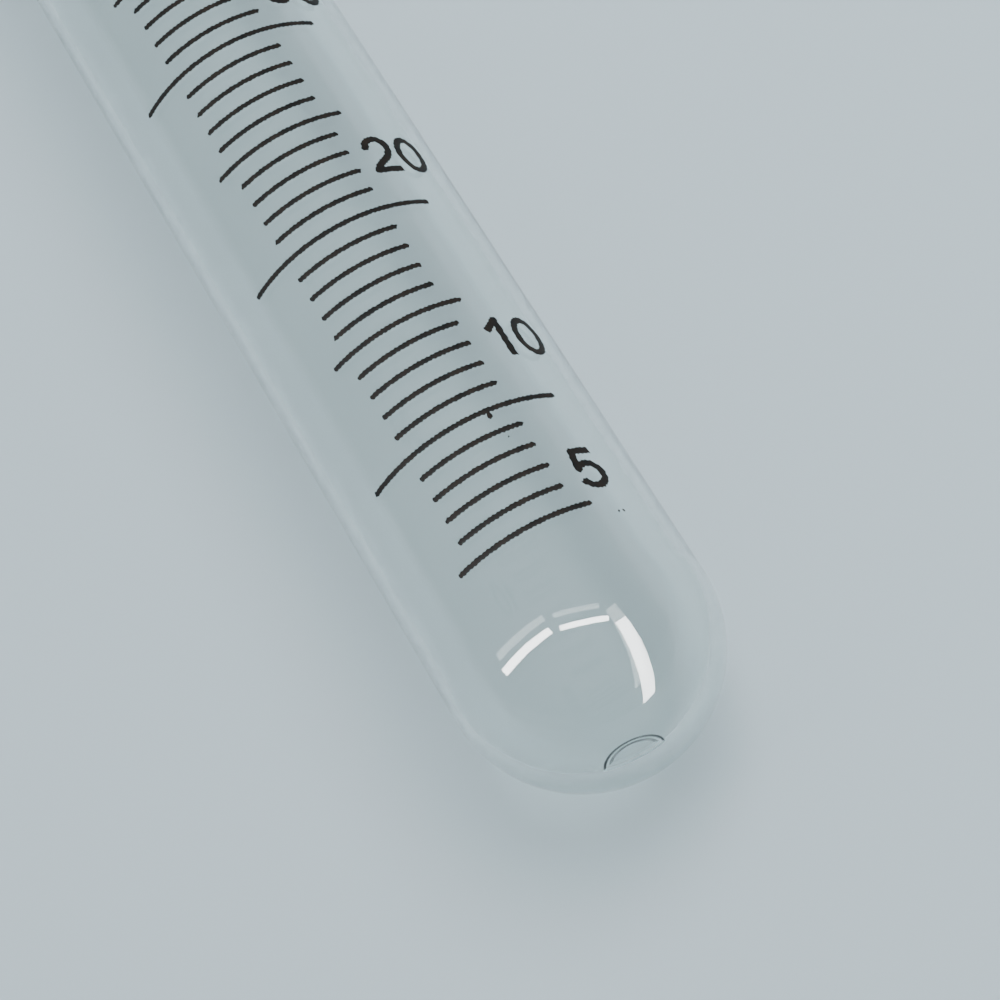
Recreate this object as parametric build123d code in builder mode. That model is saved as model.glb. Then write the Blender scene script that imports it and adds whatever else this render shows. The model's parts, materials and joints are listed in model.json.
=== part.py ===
"""Graduated round-bottom measuring tube, 50 ml, lying on its side.

Millimetres. +X runs along the tube from the closed end to the mouth, +Z is up. The scale faces up and
its numerals are on the -Y side. The origin is on the resting surface, under the middle of the tube.
"""
import os
from math import cos, degrees, pi, radians, sin

from build123d import *

# Glass
TUBE_OD = 25.0
WALL = 1.0
TUBE_LENGTH = 200.0
BOTTOM_THICKNESS = 2.0
LIP_RADIUS = 0.45  # fire-polished rim, just under half the wall
NIB_RADIUS = 2.6  # half-moon of spare glass left inside the bottom, off its middle, when the end was sealed
NIB_HEIGHT = 0.25
NIB_SIDEWAYS = 0.8  # from the tube's axis to the middle of the half-moon's straight edge
NIB_UP = 0.0

# Scale
FIRST_ML = 5
LAST_ML = 50
MEDIUM_EVERY_ML = 5
LONG_EVERY_ML = 10
SHORT_HALF_ANGLE = 23.8
MEDIUM_HALF_ANGLE = 30.8
LONG_HALF_ANGLE = 45.3
LINE_STROKE = 0.55
LINE_END_RADIUS = 0.25
ENAMEL_THICKNESS = 0.05
LEAN_PER_ML = 0.065  # degrees: the scale is printed a little askew, and its closed end leans towards -Y
UPRIGHT_ML = 22  # the line whose middle is on top of the tube
SCALE_SHIFT = 0.8  # the scale stands this much nearer the mouth than the bore's volumes, about 0.33 ml

# Lettering. A digit is drawn by a round pen, and its sizes are those of the pen's path.
PEN = 0.72
DIGIT_HEIGHT = 3.9
DIGIT_WIDTH = 2.4
ZERO_WIDTH = 2.56
DIGIT_PITCH = 3.45
FIRST_DIGIT_ARC = 7.97  # round the glass, from the middle of the scale to the middle of the first digit
SINGLE_INDENT = 0.5  # how much further round a numeral with a single character stands
FOOT_ML = {5: 5.7, 10: 12.2, 20: 21.8, 30: 31.3, 40: 41.3, 50: 51.3}  # where each numeral's foot stands
UNIT_RISE = 7.0  # from the foot of the last numeral to the foot of the unit
SMALL_LETTER_HEIGHT = 2.4
SMALL_LETTER_PITCH = 1.35

# Worked out from the above
OUTER_R = TUBE_OD / 2
BORE_R = OUTER_R - WALL
POLE_X = -TUBE_LENGTH / 2
MOUTH_X = TUBE_LENGTH / 2
OUTER_DOME_X = POLE_X + OUTER_R
INNER_POLE_X = POLE_X + BOTTOM_THICKNESS
INNER_DOME_X = INNER_POLE_X + BORE_R
NIB_ROOT_X = INNER_POLE_X - 0.3  # inside the bottom's glass
CUBIC_MM_PER_ML = 1000.0
BORE_AREA = pi * BORE_R**2
INNER_DOME_VOLUME = 2 / 3 * pi * BORE_R**3
ENAMEL_MID_R = OUTER_R + ENAMEL_THICKNESS / 2
TUBE_AXIS = Axis((0, 0, OUTER_R), (1, 0, 0))


def level_x(volume_ml):
    """Where along X the liquid's surface stands when the upright tube holds this volume."""
    return INNER_DOME_X + SCALE_SHIFT + (volume_ml * CUBIC_MM_PER_ML - INNER_DOME_VOLUME) / BORE_AREA


def outward(angle):
    """Straight out of the glass, at an angle round it from the top towards -Y."""
    return Vector(0, -sin(radians(angle)), cos(radians(angle)))


def section_plane(angle=0.0):
    """A plane through the tube's axis: x runs to the mouth, y straight out at that angle."""
    along = Vector(1, 0, 0)
    return Plane(origin=(0, 0, OUTER_R), x_dir=along, z_dir=along.cross(outward(angle)))


def touching_plane(foot_x, angle):
    """A plane touching the glass at that angle: x runs round the tube towards -Y, y to the mouth."""
    out = outward(angle)
    touch = Vector(foot_x, 0, OUTER_R) + out * OUTER_R
    return Plane(origin=touch, x_dir=out.cross(Vector(-1, 0, 0)), z_dir=out)


def write(built, name):
    built.part.label = name
    export_step(built.part, f"parts/{name}.step")


def lean(volume_ml):
    """Degrees round the tube, towards -Y, from its top to the middle of the scale at this volume."""
    return LEAN_PER_ML * (UPRIGHT_ML - volume_ml)


def half_angle(volume_ml):
    if volume_ml % LONG_EVERY_ML == 0:
        return LONG_HALF_ANGLE
    if volume_ml % MEDIUM_EVERY_ML == 0:
        return MEDIUM_HALF_ANGLE
    return SHORT_HALF_ANGLE


def make_line(volume_ml):
    """One graduation: a band of enamel round part of the glass, with rounded ends."""
    half = half_angle(volume_ml)
    with BuildPart() as line:
        with BuildSketch(section_plane(lean(volume_ml) - half)):
            with Locations((level_x(volume_ml), ENAMEL_MID_R)):
                Rectangle(LINE_STROKE, ENAMEL_THICKNESS)
        revolve(axis=TUBE_AXIS, revolution_arc=2 * half)
        fillet(line.edges().group_by(SortBy.LENGTH)[0], radius=LINE_END_RADIUS)
    write(line, f"line_{volume_ml:02d}_ml")


def ink(pen_path):
    """Widen the pen's path into a stroke with flat ends and round corners."""
    edges = pen_path.edges()
    for edge in edges:
        trace(edge, line_width=PEN)
    for vertex in pen_path.vertices():
        meeting = [edge for edge in edges if edge.distance_to(vertex) < ENAMEL_THICKNESS]
        if len(meeting) > 1:
            with Locations(vertex):
                Circle(PEN / 2)


def make_lettering(name, glyphs, volume_ml, foot_x):
    """Enamel lettering: flat glyphs wrapped on the glass, their tops towards the mouth."""
    run = DIGIT_PITCH * (len(glyphs) - 1)
    first_arc = FIRST_DIGIT_ARC + (SINGLE_INDENT if len(glyphs) == 1 else 0)
    middle_angle = lean(volume_ml) + degrees((first_arc + run / 2) / OUTER_R)
    with BuildPart() as lettering:
        with BuildSketch(touching_plane(foot_x, middle_angle)):
            for place, glyph in enumerate(glyphs):
                with Locations((place * DIGIT_PITCH - run / 2, 0)):
                    add(glyph.sketch)
        extrude(amount=WALL, both=True)
        with BuildSketch(section_plane()):
            with Locations((foot_x + DIGIT_HEIGHT / 2, ENAMEL_MID_R)):
                Rectangle(2 * DIGIT_HEIGHT, ENAMEL_THICKNESS)
        revolve(axis=TUBE_AXIS, mode=Mode.INTERSECT)
    write(lettering, name)


# Glyphs: x is 0 in the middle of the digit. y is 0 at the lowest point of a round stroke's path, and a
# stroke that ends there goes down to BASE, so that all the feet stand level.
SIDE = DIGIT_WIDTH / 2
TOP = DIGIT_HEIGHT
BASE = -PEN / 2

with BuildSketch() as zero:
    with Locations((0, TOP / 2)):
        Ellipse(ZERO_WIDTH / 2 + PEN / 2, TOP / 2 + PEN / 2)
        Ellipse(ZERO_WIDTH / 2 - PEN / 2, TOP / 2 - PEN / 2, mode=Mode.SUBTRACT)

with BuildSketch() as one:
    with BuildLine() as path:
        Polyline((-0.8, TOP - 1.2), (0.5, TOP), (0.5, BASE))
    ink(path)

with BuildSketch() as two:
    with BuildLine() as path:
        head = ThreePointArc((-SIDE, TOP - 1.1), (-0.05, TOP), (1.05, TOP - 1.15))
        neck = Spline(head @ 1, (0.2, 1.3), (-SIDE, 0), tangents=(head % 1, (-0.6, -1)))
        Line(neck @ 1, (SIDE + 0.2, 0))
    ink(path)

UPPER_BOWL_R = 0.93
LOWER_BOWL_R = TOP / 2 - UPPER_BOWL_R
with BuildSketch() as three:
    with BuildLine() as path:
        CenterArc((-0.1, TOP - UPPER_BOWL_R), UPPER_BOWL_R, -90, 245)
        CenterArc((-0.1, LOWER_BOWL_R), LOWER_BOWL_R, -155, 245)
    ink(path)

with BuildSketch() as four:
    with BuildLine() as path:
        Polyline((0.55, BASE), (0.55, TOP), (-SIDE, 1.2), (SIDE + 0.3, 1.2))
    ink(path)

FIVE_BOWL_R = 1.24
with BuildSketch() as five:
    with BuildLine() as path:
        bowl = CenterArc((0, FIVE_BOWL_R), FIVE_BOWL_R, -157, 303)
        Polyline(bowl @ 1, (-0.75, TOP), (SIDE, TOP))
    ink(path)

with BuildSketch() as unit:
    first_stem = -1.5 * SMALL_LETTER_PITCH
    with BuildLine() as path:
        Line((first_stem, BASE), (first_stem, SMALL_LETTER_HEIGHT + PEN / 2))
    ink(path)
    for arch in range(2):
        left = first_stem + arch * SMALL_LETTER_PITCH
        spring = SMALL_LETTER_HEIGHT - SMALL_LETTER_PITCH / 2
        with BuildLine() as path:
            crown = CenterArc((left + SMALL_LETTER_PITCH / 2, spring), SMALL_LETTER_PITCH / 2, 180, -180)
            Line(crown @ 1, (left + SMALL_LETTER_PITCH, BASE))
        ink(path)
    with BuildLine() as path:
        Line((-first_stem, BASE), (-first_stem, TOP + PEN / 2))
    ink(path)

DIGITS = {"0": zero, "1": one, "2": two, "3": three, "4": four, "5": five}

os.makedirs("parts", exist_ok=True)

across_bottom = Plane(origin=(NIB_ROOT_X, NIB_SIDEWAYS, OUTER_R + NIB_UP), x_dir=(0, 1, 0), z_dir=(1, 0, 0))
with BuildPart() as nib:
    with BuildSketch(across_bottom):
        Circle(NIB_RADIUS)
        split(bisect_by=Plane.XZ, keep=Keep.BOTTOM)
    extrude(amount=BORE_R)
    with Locations((INNER_DOME_X, 0, OUTER_R)):
        Sphere(BORE_R - NIB_HEIGHT, mode=Mode.SUBTRACT)

with BuildPart() as glass_tube:
    with BuildSketch(section_plane()):
        with BuildLine():
            outer_dome = RadiusArc((POLE_X, 0), (OUTER_DOME_X, OUTER_R), OUTER_R)
            outer_wall = Line(outer_dome @ 1, (MOUTH_X, OUTER_R))
            rim = Line(outer_wall @ 1, (MOUTH_X, BORE_R))
            inner_wall = Line(rim @ 1, (INNER_DOME_X, BORE_R))
            inner_dome = RadiusArc(inner_wall @ 1, (INNER_POLE_X, 0), -BORE_R)
            Line(inner_dome @ 1, (POLE_X, 0))
        make_face()
    revolve(axis=TUBE_AXIS)
    fillet(glass_tube.edges().group_by(Axis.X)[-1], radius=LIP_RADIUS)
    add(nib)
write(glass_tube, "glass_tube")

for volume in range(FIRST_ML, LAST_ML + 1):
    make_line(volume)

for volume, foot_ml in FOOT_ML.items():
    make_lettering(f"numeral_{volume}", [DIGITS[digit] for digit in str(volume)], volume, level_x(foot_ml))

make_lettering("unit_ml", [unit], LAST_ML, level_x(FOOT_ML[LAST_ML]) + UNIT_RISE)
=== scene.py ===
"""Looks of the graduated round-bottom tube: glass, fired enamel scale, floor, soft light and camera.

Metres. +X runs from the closed end to the mouth, +Z is up, and the scale faces up.
"""
import json
import math
import random

import bpy
import numpy as np
from mathutils import Matrix, Vector


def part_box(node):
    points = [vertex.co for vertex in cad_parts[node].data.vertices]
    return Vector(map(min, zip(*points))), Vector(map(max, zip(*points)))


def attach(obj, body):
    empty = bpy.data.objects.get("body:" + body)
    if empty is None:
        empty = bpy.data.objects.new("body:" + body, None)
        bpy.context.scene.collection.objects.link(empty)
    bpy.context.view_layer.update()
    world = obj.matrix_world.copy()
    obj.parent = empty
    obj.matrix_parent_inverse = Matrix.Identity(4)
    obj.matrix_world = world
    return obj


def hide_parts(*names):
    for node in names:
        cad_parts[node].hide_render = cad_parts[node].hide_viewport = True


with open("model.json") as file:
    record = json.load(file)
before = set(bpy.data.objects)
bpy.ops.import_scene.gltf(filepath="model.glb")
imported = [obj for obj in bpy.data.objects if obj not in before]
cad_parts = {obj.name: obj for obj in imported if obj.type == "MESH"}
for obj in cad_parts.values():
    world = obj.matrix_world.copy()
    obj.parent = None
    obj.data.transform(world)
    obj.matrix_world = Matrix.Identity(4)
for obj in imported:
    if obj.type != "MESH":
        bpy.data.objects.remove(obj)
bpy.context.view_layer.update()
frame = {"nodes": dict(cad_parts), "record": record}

MM = 0.001

# ---------------------------------------------------------------- sizes, read from the frame
TUBE_LOW, TUBE_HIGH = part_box("glass_tube")
OUTER_R = (TUBE_HIGH.z - TUBE_LOW.z) / 2
MOUNTS = {mount["name"]: mount for mount in frame["record"]["mounts"]}
BORE_R = MOUNTS["mouth"]["dims"]["r_mm"] * MM
BORE_LENGTH = MOUNTS["mouth"]["dims"]["length_mm"] * MM
POLE_X = TUBE_LOW.x
MOUTH_X = TUBE_HIGH.x
AXIS_Z = TUBE_LOW.z + OUTER_R
OUTER_DOME_X = POLE_X + OUTER_R
INNER_DOME_X = MOUNTS["mouth"]["pos_m"][0] - BORE_LENGTH / 2
INNER_POLE_X = INNER_DOME_X - BORE_R
SKIN = 0.004 * MM  # the visible glass stays this far inside the CAD box

# ---------------------------------------------------------------- glass details
RIM_R = 0.46 * MM
NIB_R = 2.6 * MM  # half-moon of spare glass inside the bottom
NIB_HEIGHT = 0.25 * MM
NIB_SLOPE = 0.18 * MM
NIB_TERRACE = 0.45 * MM  # from its edge to its second step
NIB_Y = 0.8 * MM
NIB_Z = AXIS_Z
NIB_ZONE = 150  # degrees from +X round the inner dome, where the fine rings for the nib start
NIB_STEPS = 76
TURNS = 256
DOME_STEPS = 64
RIM_STEPS = 10
WALL_STEPS = 60
NIB_FIRST_RING = 2 * DOME_STEPS + 2 * WALL_STEPS + 2 * RIM_STEPS

# ---------------------------------------------------------------- enamel
GRID = 0.06 * MM
ENAMEL_TOP = 0.046 * MM
ENAMEL_SUNK = 0.012 * MM
ENAMEL_ROUND = 0.16 * MM  # how far in from its edge a mark reaches its full thickness
SCREEN_PITCH = 0.43 * MM  # of the printing screen, which leaves the scalloped edges
SCREEN_SLANT = 0.4  # how far the screen's threads lean, so that a line looks like a twisted cord
PEN_R = 0.36 * MM
DIGIT_PITCH = 3.45 * MM
FIRST_DIGIT_ARC = 7.97 * MM  # round the glass, from the middle of the scale to the first digit's middle
SINGLE_INDENT = 0.5 * MM  # how much further round a numeral with a single character stands
BLOTS = {  # runs and specks of enamel: from x and to x, measured from the line, then arc and radius
    "line_10_ml": [(-0.75 * MM, 0.0, 3.1 * MM, 0.19 * MM)],
    "line_09_ml": [(-0.90 * MM, -0.90 * MM, 3.5 * MM, 0.10 * MM)],
    "line_05_ml": [
        (-1.45 * MM, -1.35 * MM, 9.0 * MM, 0.12 * MM),
        (-1.30 * MM, -1.30 * MM, 9.6 * MM, 0.11 * MM),
    ],
}
LETTERING_SEED = 100
UNIT_SEED = 200

# ---------------------------------------------------------------- floor, light and camera
FLOOR_HALF = 3.0
FLOOR_GAP = 0.02 * MM  # keeps the floor off the underside of the glass
LAMP_DISTANCE = 0.7
KEY_DIRECTION = (-60, 68)  # azimuth and elevation, in degrees
KEY_DISTANCE = 0.8
KEY_SIZE = 0.6
KEY_POWER = 7.0
CAMERA_AZIMUTH = 173.98
CAMERA_ELEVATION = 60.49
CAMERA_ROLL = 24.74
CAMERA_DISTANCE = 281.0 * MM
CAMERA_LENS = 114.2
CAMERA_TARGET = (POLE_X + 29.25 * MM, -0.75 * MM, AXIS_Z)


# ---------------------------------------------------------------- helpers
def on_glass(x, arc, height):
    """A point over the glass: x along the tube, arc round it from the top towards -Y."""
    angle = arc / OUTER_R
    radius = OUTER_R + height
    return (x, -radius * math.sin(angle), AXIS_Z + radius * math.cos(angle))


def new_piece(name, vertices, faces, material):
    mesh = bpy.data.meshes.new(name)
    mesh.from_pydata([tuple(v) for v in vertices], [], faces)
    mesh.validate()
    mesh.polygons.foreach_set("use_smooth", [True] * len(mesh.polygons))
    mesh.materials.append(material)
    piece = bpy.data.objects.new(name, mesh)
    bpy.context.scene.collection.objects.link(piece)
    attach(piece, "root")
    return piece


def new_material(name):
    """A material with one shader, and the shader and the output node."""
    material = bpy.data.materials.new(name)
    material.use_nodes = True
    nodes = material.node_tree.nodes
    nodes.clear()
    output = nodes.new("ShaderNodeOutputMaterial")
    shader = nodes.new("ShaderNodeBsdfPrincipled")
    material.node_tree.links.new(shader.outputs["BSDF"], output.inputs["Surface"])
    return material, shader, output


# ---------------------------------------------------------------- materials
def make_glass():
    material, shader, output = new_material("borosilicate")
    nodes = material.node_tree.nodes
    links = material.node_tree.links
    shader.inputs["Base Color"].default_value = (0.975, 0.992, 0.988, 1)
    shader.inputs["Transmission Weight"].default_value = 1.0
    shader.inputs["IOR"].default_value = 1.474
    shader.inputs["Roughness"].default_value = 0.0

    place = nodes.new("ShaderNodeTexCoord")
    stretch = nodes.new("ShaderNodeMapping")
    stretch.inputs["Scale"].default_value = (6, 260, 260)
    streaks = nodes.new("ShaderNodeTexNoise")
    streaks.inputs["Scale"].default_value = 1.0
    streaks.inputs["Detail"].default_value = 2.0
    bump = nodes.new("ShaderNodeBump")
    bump.inputs["Strength"].default_value = 0.05
    bump.inputs["Distance"].default_value = 0.0004
    links.new(place.outputs["Object"], stretch.inputs["Vector"])
    links.new(stretch.outputs["Vector"], streaks.inputs["Vector"])
    links.new(streaks.outputs["Fac"], bump.inputs["Height"])
    links.new(bump.outputs["Normal"], shader.inputs["Normal"])

    thick = nodes.new("ShaderNodeVolumeAbsorption")
    thick.inputs["Color"].default_value = (0.30, 0.47, 0.45, 1)
    thick.inputs["Density"].default_value = 60.0
    links.new(thick.outputs["Volume"], output.inputs["Volume"])

    # What shadow and diffuse rays meet in place of refraction: glass that dims light at a slant to it.
    slant = nodes.new("ShaderNodeLayerWeight")
    slant.inputs["Blend"].default_value = 0.5
    see_through = nodes.new("ShaderNodeBsdfTransparent")
    shade = nodes.new("ShaderNodeValToRGB")
    shade.color_ramp.elements[0].position = 0.4
    shade.color_ramp.elements[0].color = (0.97, 0.975, 0.972, 1)
    shade.color_ramp.elements[1].position = 0.95
    shade.color_ramp.elements[1].color = (0.22, 0.25, 0.25, 1)
    links.new(slant.outputs["Facing"], shade.inputs["Fac"])
    links.new(shade.outputs["Color"], see_through.inputs["Color"])
    rays = nodes.new("ShaderNodeLightPath")
    either = nodes.new("ShaderNodeMath")
    either.operation = "MAXIMUM"
    links.new(rays.outputs["Is Shadow Ray"], either.inputs[0])
    links.new(rays.outputs["Is Diffuse Ray"], either.inputs[1])
    choose = nodes.new("ShaderNodeMixShader")
    links.new(either.outputs["Value"], choose.inputs["Fac"])
    links.new(shader.outputs["BSDF"], choose.inputs[1])
    links.new(see_through.outputs["BSDF"], choose.inputs[2])
    links.new(choose.outputs["Shader"], output.inputs["Surface"])
    return material


def make_enamel():
    material, shader, _ = new_material("fired_enamel")
    nodes = material.node_tree.nodes
    links = material.node_tree.links
    place = nodes.new("ShaderNodeTexCoord")
    cloud = nodes.new("ShaderNodeTexNoise")
    cloud.inputs["Scale"].default_value = 900
    cloud.inputs["Detail"].default_value = 4
    tone = nodes.new("ShaderNodeValToRGB")
    tone.color_ramp.elements[0].position = 0.35
    tone.color_ramp.elements[0].color = (0.0020, 0.0022, 0.0020, 1)
    tone.color_ramp.elements[1].position = 0.68
    tone.color_ramp.elements[1].color = (0.012, 0.007, 0.004, 1)
    gloss = nodes.new("ShaderNodeMapRange")
    gloss.inputs["To Min"].default_value = 0.45
    gloss.inputs["To Max"].default_value = 0.65
    shader.inputs["Specular IOR Level"].default_value = 0.15
    grain = nodes.new("ShaderNodeTexNoise")
    grain.inputs["Scale"].default_value = 9000
    bump = nodes.new("ShaderNodeBump")
    bump.inputs["Strength"].default_value = 0.25
    bump.inputs["Distance"].default_value = 0.00002
    links.new(place.outputs["Object"], cloud.inputs["Vector"])
    links.new(place.outputs["Object"], grain.inputs["Vector"])
    links.new(cloud.outputs["Fac"], tone.inputs["Fac"])
    links.new(cloud.outputs["Fac"], gloss.inputs["Value"])
    links.new(tone.outputs["Color"], shader.inputs["Base Color"])
    links.new(gloss.outputs["Result"], shader.inputs["Roughness"])
    links.new(grain.outputs["Fac"], bump.inputs["Height"])
    links.new(bump.outputs["Normal"], shader.inputs["Normal"])
    return material


def make_floor_paint():
    material, shader, _ = new_material("pale_floor")
    shader.inputs["Base Color"].default_value = (0.50, 0.63, 0.69, 1)
    shader.inputs["Roughness"].default_value = 0.9
    return material


# ---------------------------------------------------------------- glass tube
def arc_points(centre_x, centre_r, radius, start, end, steps):
    """Points (x, r) on a circle, from start to end degrees, the end left out."""
    angles = [math.radians(start + (end - start) * k / steps) for k in range(steps)]
    return [(centre_x + radius * math.cos(a), centre_r + radius * math.sin(a)) for a in angles]


def wall_points(from_x, to_x, radius):
    """Points (x, r) along a straight wall, the last left out."""
    return [(from_x + (to_x - from_x) * k / WALL_STEPS, radius) for k in range(WALL_STEPS)]


def tube_profile():
    """The wall's outline from the outer pole over the rim to the inner pole, as (x, r)."""
    outer_r = OUTER_R - SKIN
    outer_pole_x = POLE_X + SKIN
    mouth_x = MOUTH_X - SKIN
    dome_x = outer_pole_x + outer_r
    rim_x = mouth_x - RIM_R
    points = arc_points(dome_x, 0, outer_r, 180, 90, DOME_STEPS)
    points += wall_points(dome_x, rim_x, outer_r)
    points += arc_points(rim_x, outer_r - RIM_R, RIM_R, 90, 0, RIM_STEPS)
    points += arc_points(rim_x, BORE_R + RIM_R, RIM_R, 0, -90, RIM_STEPS)
    points += wall_points(rim_x, INNER_DOME_X, BORE_R)
    points += arc_points(INNER_DOME_X, 0, BORE_R, 90, NIB_ZONE, DOME_STEPS)
    points += arc_points(INNER_DOME_X, 0, BORE_R, NIB_ZONE, 180, NIB_STEPS)
    points.append((INNER_POLE_X, 0.0))
    return points


def step(depth):
    """A smooth rise from 0 at the edge of a step to 1 at its top."""
    rise = min(max(depth / NIB_SLOPE, 0.0), 1.0)
    return rise * rise * (3 - 2 * rise)


def nib_height(y, z):
    """How far the half-moon of spare glass stands out of the inside of the bottom, in two low steps."""
    depth = min(NIB_R - math.hypot(y - NIB_Y, z - NIB_Z), z - NIB_Z)
    return NIB_HEIGHT / 2 * (step(depth) + step(depth - NIB_TERRACE))


def ring_point(ring, x, r, turn):
    """A point of the lathe's ring, moved towards the middle of the dome where the nib is."""
    point = Vector((x, r * math.sin(turn), AXIS_Z + r * math.cos(turn)))
    if ring > NIB_FIRST_RING:
        centre = Vector((INNER_DOME_X, 0, AXIS_Z))
        point += (centre - point).normalized() * nib_height(point.y, point.z)
    return point


def make_tube(material):
    """The glass, turned on its axis from the profile, with a closed fan of faces at each pole."""
    profile = tube_profile()
    rings = profile[1:-1]
    vertices = [(profile[0][0], 0.0, AXIS_Z)]
    for ring, (x, r) in enumerate(rings):
        for k in range(TURNS):
            vertices.append(ring_point(ring, x, r, 2 * math.pi * k / TURNS))
    last = len(vertices)
    vertices.append((profile[-1][0], 0.0, AXIS_Z))
    faces = []
    for k in range(TURNS):
        after = (k + 1) % TURNS
        faces.append((0, 1 + k, 1 + after))
        for ring in range(len(rings) - 1):
            here = 1 + ring * TURNS
            beyond = here + TURNS
            faces.append((here + k, beyond + k, beyond + after, here + after))
        end = last - TURNS
        faces.append((end + k, last, end + after))
    tube = new_piece("glass_tube_blown", vertices, faces, material)
    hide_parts("glass_tube")


# ---------------------------------------------------------------- enamel marks
def in_step(px, py, start, end, flat_start, flat_end):
    """How deep grid points lie in one straight step of the pen, whose ends are round or cut flat."""
    dx, dy = end[0] - start[0], end[1] - start[1]
    length = math.hypot(dx, dy)
    along = ((px - start[0]) * dx + (py - start[1]) * dy) / length
    aside = ((px - start[0]) * dy - (py - start[1]) * dx) / length
    past = np.maximum(np.maximum(-along, along - length), 0)
    depth = PEN_R - np.hypot(aside, past)
    if flat_start:
        depth = np.minimum(depth, along)
    if flat_end:
        depth = np.minimum(depth, length - along)
    return depth


def in_path(px, py, points):
    """How deep grid points lie in the stroke along a path. An open path has flat ends."""
    is_open = math.dist(points[0], points[-1]) > PEN_R
    last = len(points) - 2
    steps = enumerate(zip(points, points[1:]))
    depths = [in_step(px, py, a, b, is_open and k == 0, is_open and k == last) for k, (a, b) in steps]
    return np.maximum.reduce(depths)


def bend(centre, radius, start, end, steps=24):
    """Points on a circle, or on an ellipse if radius is a pair, from start to end degrees."""
    across, up = radius if isinstance(radius, tuple) else (radius, radius)
    angles = [math.radians(start + (end - start) * k / steps) for k in range(steps + 1)]
    return [(centre[0] + across * math.cos(a), centre[1] + up * math.sin(a)) for a in angles]


def pen_paths():
    """What the pen draws for each character: x is 0 in its middle, y is 0 at its round foot.

    Worked out in millimetres, handed back in metres. "m" is the whole unit, both of its letters.
    """
    side, top, base, zero_side = 1.2, 3.9, -PEN_R / MM, 1.28
    upper, lower, bowl = 0.93, top / 2 - 0.93, 1.24
    stem, arch = 2.025, 0.675
    spring = 2.4 - arch
    neck = [(0.88, 2.15), (0.62, 1.72), (0.2, 1.3), (-0.35, 0.95), (-0.85, 0.5)]
    foot = [(-side, 0.0), (side + 0.2, 0.0)]
    glyphs = {
        "0": [bend((0, top / 2), (zero_side, top / 2), 0, 360, 48)],
        "1": [[(-0.8, top - 1.2), (0.5, top), (0.5, base)]],
        "2": [bend((-0.06, top - 1.11), 1.11, 178, -12) + neck + foot],
        "3": [
            bend((-0.1, top - upper), upper, 155, -90),
            bend((-0.1, lower), lower, 90, -155),
        ],
        "4": [[(0.55, base), (0.55, top), (-side, 1.2), (side + 0.3, 1.2)]],
        "5": [[(side, top), (-0.75, top)] + bend((0, bowl), bowl, 146, -157)],
        "m": [
            [(-stem, base), (-stem, spring + arch - base)],
            bend((-stem + arch, spring), arch, 180, 0) + [(-stem + 2 * arch, base)],
            bend((-stem + 3 * arch, spring), arch, 180, 0) + [(-stem + 4 * arch, base)],
            [(stem, base), (stem, top - base)],
        ],
    }
    return {k: [[(x * MM, y * MM) for x, y in path] for path in v] for k, v in glyphs.items()}


def ragged(x, arc, seed):
    """How far the printing screen moved a mark's edge at each grid point."""
    chance = random.Random(seed)
    shift = [chance.uniform(0, 2 * math.pi) for _ in range(6)]
    turn = 2 * math.pi / SCREEN_PITCH
    weft = np.sin(turn * (arc + SCREEN_SLANT * x) + shift[0])
    warp = np.sin(turn * (x - SCREEN_SLANT * arc) + shift[1])
    slow = np.sin(0.21 * turn * arc + shift[2]) + np.sin(0.37 * turn * arc + 0.5 * turn * x + shift[3])
    fine = np.sin(2.3 * turn * arc + 1.1 * turn * x + shift[4]) * np.sin(1.7 * turn * x + shift[5])
    return (0.050 * weft + 0.016 * warp + 0.011 * slow + 0.012 * fine) * MM


def make_mark(name, inside, low, high, origin, material, seed):
    """One island of enamel. inside(x, arc) is how deep a point lies within the mark, negative outside.

    A grid covers the box from low to high in (x, arc). Cells that the edge crosses are cut along it, so
    the top, which swells to its full thickness, and the underside, sunk in the glass, share their rim.
    """
    xs = np.arange(low[0], high[0] + GRID, GRID)
    arcs = np.arange(low[1], high[1] + GRID, GRID)
    grid_x, grid_arc = np.meshgrid(xs, arcs, indexing="ij")
    depth = inside(grid_x, grid_arc) + ragged(grid_x + origin[0], grid_arc + origin[1], seed)
    too_near = 0.02 * GRID  # a point this near the edge counts as inside, so no face is a sliver
    depth[np.abs(depth) < too_near] = too_near
    vertices = []
    faces = []
    tops = {}
    unders = {}
    rims = {}

    def swell(d):
        rise = min(d / ENAMEL_ROUND, 1.0)
        return ENAMEL_TOP * math.sqrt(1 - (1 - rise) ** 2)

    def corner(i, j, store, height):
        if (i, j) not in store:
            store[i, j] = len(vertices)
            vertices.append(on_glass(origin[0] + xs[i], origin[1] + arcs[j], height))
        return store[i, j]

    def crossing(a, b):
        key = (min(a, b), max(a, b))
        if key not in rims:
            da, db = depth[a], depth[b]
            share = da / (da - db)
            x = xs[a[0]] + (xs[b[0]] - xs[a[0]]) * share
            arc = arcs[a[1]] + (arcs[b[1]] - arcs[a[1]]) * share
            rims[key] = len(vertices)
            vertices.append(on_glass(origin[0] + x, origin[1] + arc, 0.0))
        return rims[key]

    for i in range(len(xs) - 1):
        for j in range(len(arcs) - 1):
            cell = [(i, j), (i + 1, j), (i + 1, j + 1), (i, j + 1)]
            if all(depth[c] < 0 for c in cell):
                continue
            top, under = [], []
            for here, after in zip(cell, cell[1:] + cell[:1]):
                if depth[here] > 0:
                    top.append(corner(*here, tops, swell(depth[here])))
                    under.append(corner(*here, unders, -ENAMEL_SUNK))
                if depth[here] * depth[after] < 0:
                    rim = crossing(here, after)
                    top.append(rim)
                    under.append(rim)
            faces.append(tuple(reversed(top)))
            faces.append(tuple(under))
    return new_piece(name, vertices, faces, material)


def line_ends(node):
    """How far round the glass, from the top towards -Y, a line starts and stops."""
    low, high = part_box(node)
    outer = high.z - AXIS_Z
    return -OUTER_R * math.asin(high.y / outer), -OUTER_R * math.asin(low.y / outer)


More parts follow.
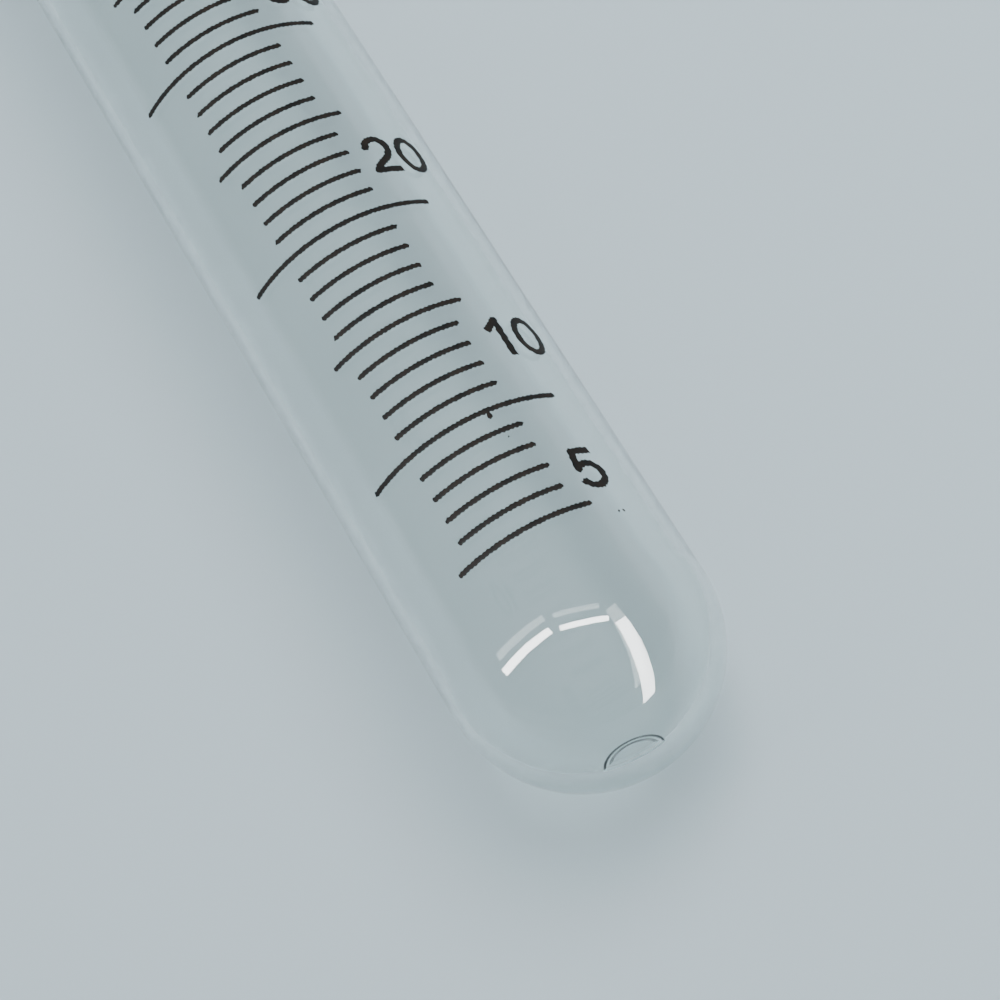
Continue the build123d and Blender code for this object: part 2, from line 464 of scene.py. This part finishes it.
def make_line(node, material, seed):
    """A graduation with round ends, as wide and as long round the glass as its CAD node."""
    low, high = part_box(node)
    half = (high.x - low.x) / 2
    first_arc, last_arc = line_ends(node)
    middle_arc = (first_arc + last_arc) / 2
    reach = (last_arc - first_arc) / 2
    blots = BLOTS.get(node, [])

    def inside(x, arc):
        depth = half - np.hypot(x, np.maximum(np.abs(arc) - reach + half, 0))
        for from_x, to_x, blot_arc, radius in blots:
            beyond = np.maximum(np.maximum(from_x - x, x - to_x), 0)
            depth = np.maximum(depth, radius - np.hypot(beyond, arc + middle_arc - blot_arc))
        return depth

    edge = 2 * GRID
    lowest = min([-half] + [from_x - radius for from_x, _, _, radius in blots])
    furthest = max([reach] + [blot_arc + radius - middle_arc for _, _, blot_arc, radius in blots])
    box_low = (lowest - edge, -reach - edge)
    box_high = (half + edge, furthest + edge)
    origin = ((low.x + high.x) / 2, middle_arc)
    mark = make_mark(node + "_fired", inside, box_low, box_high, origin, material, seed)
    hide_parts(node)


def make_lettering(node, text, line, material, seed):
    """Lettering drawn by the pen beside its line, standing where its CAD node stands."""
    low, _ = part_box(node)
    glyphs = pen_paths()
    paths = []
    for place, letter in enumerate(text):
        shift = place * DIGIT_PITCH
        paths += [[(y, x + shift) for x, y in path] for path in glyphs[letter]]
    first_arc = sum(line_ends(line)) / 2 + FIRST_DIGIT_ARC
    if len(text) == 1:
        first_arc += SINGLE_INDENT

    def inside(x, arc):
        return np.maximum.reduce([in_path(x, arc, path) for path in paths])

    points = [point for path in paths for point in path]
    edge = PEN_R + 2 * GRID
    box_low = (min(x for x, arc in points) - edge, min(arc for x, arc in points) - edge)
    box_high = (max(x for x, arc in points) + edge, max(arc for x, arc in points) + edge)
    origin = (low.x + PEN_R, first_arc)
    mark = make_mark(node + "_fired", inside, box_low, box_high, origin, material, seed)
    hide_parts(node)


# ---------------------------------------------------------------- stage, light and camera
def make_floor(material):
    half = FLOOR_HALF
    corners = [(-half, -half, 0), (half, -half, 0), (half, half, 0), (-half, half, 0)]
    mesh = bpy.data.meshes.new("floor")
    mesh.from_pydata(corners, [], [(0, 1, 2, 3)])
    mesh.materials.append(material)
    floor = bpy.data.objects.new("floor", mesh)
    floor.location.z = TUBE_LOW.z - FLOOR_GAP
    bpy.context.scene.collection.objects.link(floor)


def aim(thing, target, roll=0.0):
    """Point a lamp or the camera at a place, then turn it about its own line of sight."""
    look = Vector(target) - thing.location
    thing.rotation_euler = look.to_track_quat("-Z", "Y").to_euler()
    thing.rotation_euler.rotate_axis("Z", roll)


def direction(azimuth, elevation):
    """Unit vector: azimuth is counted from +X towards +Y, elevation from the floor."""
    a, e = math.radians(azimuth), math.radians(elevation)
    return Vector((math.cos(a) * math.cos(e), math.sin(a) * math.cos(e), math.sin(e)))


def make_softbox(name, start, end, width, radiance):
    """A long soft lamp over the closed end, for the glass to mirror. It gives no diffuse light.

    start and end are the azimuth and elevation of its two ends.
    """
    target = Vector((OUTER_DOME_X, 0, AXIS_Z))
    first = target + direction(*start) * LAMP_DISTANCE
    last = target + direction(*end) * LAMP_DISTANCE
    lamp = bpy.data.lights.new(name, "AREA")
    lamp.shape = "RECTANGLE"
    lamp.size = (last - first).length
    lamp.size_y = width
    lamp.energy = radiance * math.pi * lamp.size * lamp.size_y
    box = bpy.data.objects.new(name, lamp)
    box.location = (first + last) / 2
    along = (last - first).normalized()
    out = (box.location - target).normalized()
    across = out.cross(along).normalized()
    out = along.cross(across)
    basis = [[along[k], across[k], out[k]] for k in range(3)]
    box.rotation_euler = Matrix(basis).to_euler()
    box.visible_diffuse = False
    bpy.context.scene.collection.objects.link(box)


def make_key_light():
    """A large soft lamp that lights the floor and casts the tube's soft shadow, and is not reflected."""
    lamp = bpy.data.lights.new("key", "AREA")
    lamp.shape = "DISK"
    lamp.size = KEY_SIZE
    lamp.energy = KEY_POWER
    key = bpy.data.objects.new("key", lamp)
    target = Vector((OUTER_DOME_X, 0, AXIS_Z))
    key.location = target + direction(*KEY_DIRECTION) * KEY_DISTANCE
    aim(key, target)
    key.visible_glossy = False
    key.visible_transmission = False
    bpy.context.scene.collection.objects.link(key)


def make_world():
    world = bpy.data.worlds.new("studio")
    world.use_nodes = True
    nodes, links = world.node_tree.nodes, world.node_tree.links
    background = nodes["Background"]
    place = nodes.new("ShaderNodeTexCoord")
    split = nodes.new("ShaderNodeSeparateXYZ")
    tone = nodes.new("ShaderNodeValToRGB")
    tone.color_ramp.elements[0].position = 0.0
    tone.color_ramp.elements[0].color = (0.30, 0.32, 0.34, 1)
    tone.color_ramp.elements[1].position = 0.9
    tone.color_ramp.elements[1].color = (0.52, 0.54, 0.57, 1)
    links.new(place.outputs["Generated"], split.inputs["Vector"])
    links.new(split.outputs["Z"], tone.inputs["Fac"])
    links.new(tone.outputs["Color"], background.inputs["Color"])
    background.inputs["Strength"].default_value = 1.0
    bpy.context.scene.world = world


def make_camera():
    lens = bpy.data.cameras.new("camera")
    lens.lens = CAMERA_LENS
    lens.sensor_width = 36
    lens.clip_start = 0.01
    lens.clip_end = 20
    camera = bpy.data.objects.new("camera", lens)
    towards_camera = direction(CAMERA_AZIMUTH, CAMERA_ELEVATION)
    camera.location = Vector(CAMERA_TARGET) + towards_camera * CAMERA_DISTANCE
    aim(camera, CAMERA_TARGET, -math.radians(CAMERA_ROLL))
    bpy.context.scene.collection.objects.link(camera)
    bpy.context.scene.camera = camera


# ---------------------------------------------------------------- build
glass = make_glass()
enamel = make_enamel()
make_tube(glass)
lines = sorted(name for name in frame["nodes"] if name.startswith("line_"))
for number, node in enumerate(lines):
    make_line(node, enamel, number)
numerals = sorted(name for name in frame["nodes"] if name.startswith("numeral_"))
for number, node in enumerate(numerals):
    volume = node.split("_")[1]
    make_lettering(node, volume, f"line_{int(volume):02d}_ml", enamel, LETTERING_SEED + number)
make_lettering("unit_ml", "m", "line_50_ml", enamel, UNIT_SEED)

make_floor(make_floor_paint())
make_world()
make_key_light()
make_softbox("window_left", (89, 25), (94, 74), 0.07, 80)
make_softbox("window_top", (114, 80), (-117, 59), 0.05, 80)
make_softbox("window_right", (-117, 50), (-160, -3), 0.12, 60)
make_camera()
